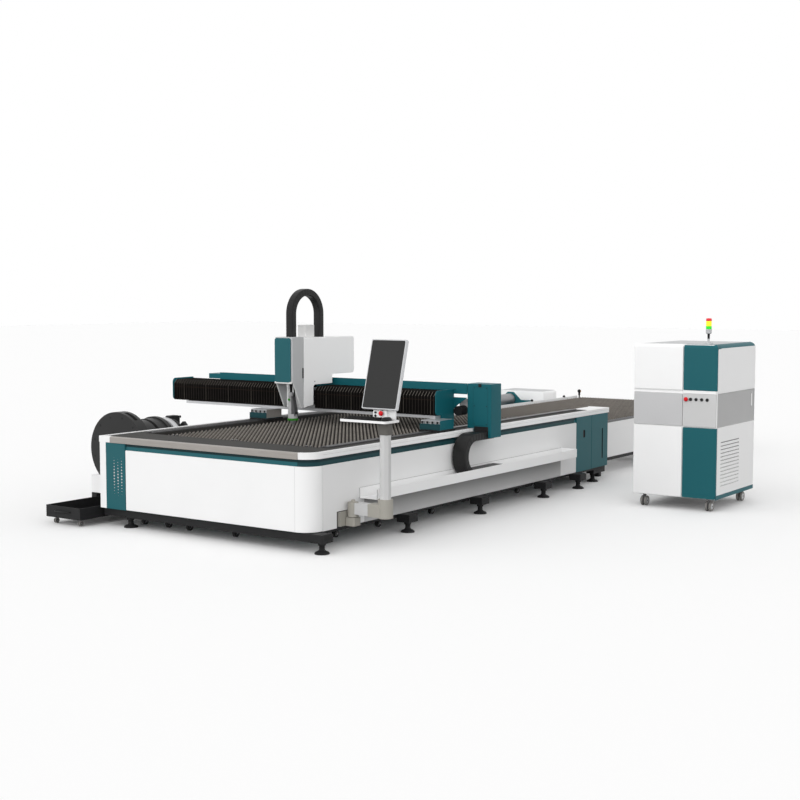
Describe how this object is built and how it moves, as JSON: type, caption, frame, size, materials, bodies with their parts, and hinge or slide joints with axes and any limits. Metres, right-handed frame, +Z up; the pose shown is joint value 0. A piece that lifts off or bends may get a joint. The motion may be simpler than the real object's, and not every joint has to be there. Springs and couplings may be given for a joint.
{
  "type": "fiber laser cutting machine",
  "caption": "Flat-bed laser cutter for sheet and tube with a gantry on side rails, slatted exchange pallets, tube chucks, a swivel console and a control cabinet.",
  "frame": {"origin": "on the floor, under the middle of the whole machine's outline", "axes": "+Y along the bed towards the exchange table, +X towards the console and cabinet, +Z up"},
  "size_m": [5.263, 8.741, 2.0421],
  "materials": {
    "base_frame": "satin black",
    "levelling_feet": "satin black",
    "bed_shell": "satin teal",
    "front_panel": "powder-coated white",
    "vent_panel": "satin teal",
    "side_panels": "powder-coated white",
    "bed_rim": "powder-coated white",
    "front_bar": "warm grey",
    "bed_deck": "dark grey",
    "guide_rails": "ground steel",
    "service_door": "satin teal",
    "chain_trough": "powder-coated white",
    "base_rollers": "matt black",
    "exchange_frame": "satin black",
    "exchange_panels": "powder-coated white",
    "pallet_upper": "raw steel",
    "pallet_lower": "raw steel",
    "gantry_beam": "machined",
    "gantry_tray": "satin teal",
    "leg_box": "satin teal",
    "gantry_feet": "dark steel",
    "bellows_left": "pleated fabric",
    "bellows_right": "pleated fabric",
    "bellows_ends": "satin teal",
    "x_chain": "moulded black",
    "saddle": "powder-coated white",
    "motor_cover": "powder-coated white",
    "z_chain": "moulded black",
    "head_box": "light grey",
    "head_cover": "satin teal",
    "laser_head": "turned and anodised",
    "console_bracket": "dark grey",
    "console_arm": "silver white",
    "console_joint": "beige grey",
    "console_tray": "silver white",
    "keyboard": "moulded",
    "mouse": "moulded",
    "switch_box": "moulded white",
    "console_estop": "signal red",
    "console_buttons": "black",
    "monitor": "silver",
    "monitor_screen": "dark screen",
    "tube_bed": "powder-coated white",
    "chuck_housing": "powder-coated white",
    "chuck_rotor": "dark grey",
    "chuck_jaws": "machined",
    "rear_slide": "satin teal",
    "rear_drum": "machined",
    "rear_housing": "powder-coated white",
    "cart": "dark grey",
    "cart_casters": "plated",
    "cabinet_shell": "powder-coated white",
    "cabinet_trim": "satin teal",
    "cabinet_door_l": "powder-coated white",
    "cabinet_door_r": "satin teal",
    "cabinet_window": "glossy grey",
    "cabinet_estop": "signal red",
    "cabinet_buttons": "black",
    "signal_tower": "stacked lamps",
    "cabinet_casters": "plated"
  },
  "bodies": {
    "bed": {"base_frame": "base_frame", "levelling_feet": "levelling_feet", "bed_shell": "bed_shell", "front_panel": "front_panel", "vent_panel": "vent_panel", "side_panels": "side_panels", "bed_rim": "bed_rim", "front_bar": "front_bar", "bed_deck": "bed_deck", "guide_rails": "guide_rails", "chain_trough": "chain_trough", "base_rollers": "base_rollers", "exchange_frame": "exchange_frame", "exchange_panels": "exchange_panels", "x_chain": "x_chain", "console_bracket": "console_bracket", "tube_bed": "tube_bed", "chuck_housing": "chuck_housing", "rear_housing": "rear_housing", "cabinet_shell": "cabinet_shell", "cabinet_trim": "cabinet_trim", "cabinet_buttons": "cabinet_buttons", "signal_tower": "signal_tower", "cabinet_casters": "cabinet_casters"},
    "gantry": {"gantry_beam": "gantry_beam", "gantry_tray": "gantry_tray", "leg_box": "leg_box", "gantry_feet": "gantry_feet", "bellows_left": "bellows_left", "bellows_right": "bellows_right", "bellows_ends": "bellows_ends"},
    "carriage": {"saddle": "saddle", "motor_cover": "motor_cover", "z_chain": "z_chain"},
    "head": {"head_box": "head_box", "head_cover": "head_cover", "laser_head": "laser_head"},
    "pallet_in_bed": {"pallet_upper": "pallet_upper"},
    "pallet_on_table": {"pallet_lower": "pallet_lower"},
    "door": {"service_door": "service_door"},
    "arm": {"console_arm": "console_arm"},
    "console": {"console_joint": "console_joint", "console_tray": "console_tray", "keyboard": "keyboard", "mouse": "mouse", "switch_box": "switch_box", "console_buttons": "console_buttons", "monitor": "monitor", "monitor_screen": "monitor_screen"},
    "console_stop": {"console_estop": "console_estop"},
    "rotor": {"chuck_rotor": "chuck_rotor", "chuck_jaws": "chuck_jaws"},
    "rear_carriage": {"rear_slide": "rear_slide"},
    "rear_spindle": {"rear_drum": "rear_drum"},
    "scrap_cart": {"cart": "cart", "cart_casters": "cart_casters"},
    "left_door": {"cabinet_door_l": "cabinet_door_l"},
    "right_door": {"cabinet_door_r": "cabinet_door_r"},
    "window": {"cabinet_window": "cabinet_window"},
    "cabinet_stop": {"cabinet_estop": "cabinet_estop"}
  },
  "joints": [
    {"name": "gantry_travel", "type": "slide", "parent": "bed", "child": "gantry", "axis": [0, 1, 0], "range_m": [-1.25, 1.7], "deforming": ["x_chain"]},
    {"name": "carriage_travel", "type": "slide", "parent": "gantry", "child": "carriage", "axis": [1, 0, 0], "range_m": [-1.15, 1.2], "deforming": ["bellows_left", "bellows_right"]},
    {"name": "head_lift", "type": "slide", "parent": "carriage", "child": "head", "axis": [0, 0, 1], "range_m": [0, 0.1], "deforming": ["z_chain"]},
    {"name": "pallet_swap", "type": "slide", "parent": "bed", "child": "pallet_in_bed", "axis": [0, 1, 0], "range_m": [0, 4.771]},
    {"name": "pallet_return", "type": "slide", "parent": "bed", "child": "pallet_on_table", "axis": [0, 1, 0], "range_m": [-4.771, 0]},
    {"name": "service_door_hinge", "type": "hinge", "parent": "bed", "child": "door", "pos_m": [0.8305, 0.5545, 0.44], "axis": [0, 0, -1], "range_deg": [0, 105]},
    {"name": "arm_swivel", "type": "hinge", "parent": "bed", "child": "arm", "pos_m": [0.8905, -3.7005, 0.3], "axis": [0, 0, 1], "range_deg": [-75, 0]},
    {"name": "console_swivel", "type": "hinge", "parent": "arm", "child": "console", "pos_m": [1.1835, -3.6705, 0.935], "axis": [0, 0, 1], "range_deg": [0, 60]},
    {"name": "console_stop_press", "type": "slide", "parent": "console", "child": "console_stop", "axis": [0, 1, 0], "range_m": [0, 0.004], "stiffness_N_per_m": 900},
    {"name": "rotor_spin", "type": "hinge", "parent": "bed", "child": "rotor", "pos_m": [-1.9605, -3.2705, 0.567], "axis": [0, 1, 0], "continuous": true},
    {"name": "rear_chuck_travel", "type": "slide", "parent": "bed", "child": "rear_carriage", "axis": [0, 1, 0], "range_m": [-5.4, 0.15]},
    {"name": "rear_spindle_spin", "type": "hinge", "parent": "rear_carriage", "child": "rear_spindle", "pos_m": [-1.9605, 3.6445, 0.567], "axis": [0, 1, 0], "continuous": true},
    {"name": "cart_roll_out", "type": "slide", "parent": "bed", "child": "scrap_cart", "axis": [0, -1, 0], "range_m": [0, 0.9]},
    {"name": "left_door_hinge", "type": "hinge", "parent": "bed", "child": "left_door", "pos_m": [1.8165, -0.5305, 0.44], "axis": [0, 0, -1], "range_deg": [0, 110]},
    {"name": "right_door_hinge", "type": "hinge", "parent": "bed", "child": "right_door", "pos_m": [2.6235, -0.5305, 0.44], "axis": [0, 0, 1], "range_deg": [0, 110]},
    {"name": "window_hinge", "type": "hinge", "parent": "bed", "child": "window", "pos_m": [2.0585, -0.5305, 1.0846], "axis": [-1, 0, 0], "range_deg": [0, 85]},
    {"name": "cabinet_stop_press", "type": "slide", "parent": "bed", "child": "cabinet_stop", "axis": [0, 1, 0], "range_m": [0, 0.004], "stiffness_N_per_m": 900}
  ],
  "couplings": [
    {"joint": "pallet_return", "follows": "pallet_swap", "ratio": -1}
  ]
}
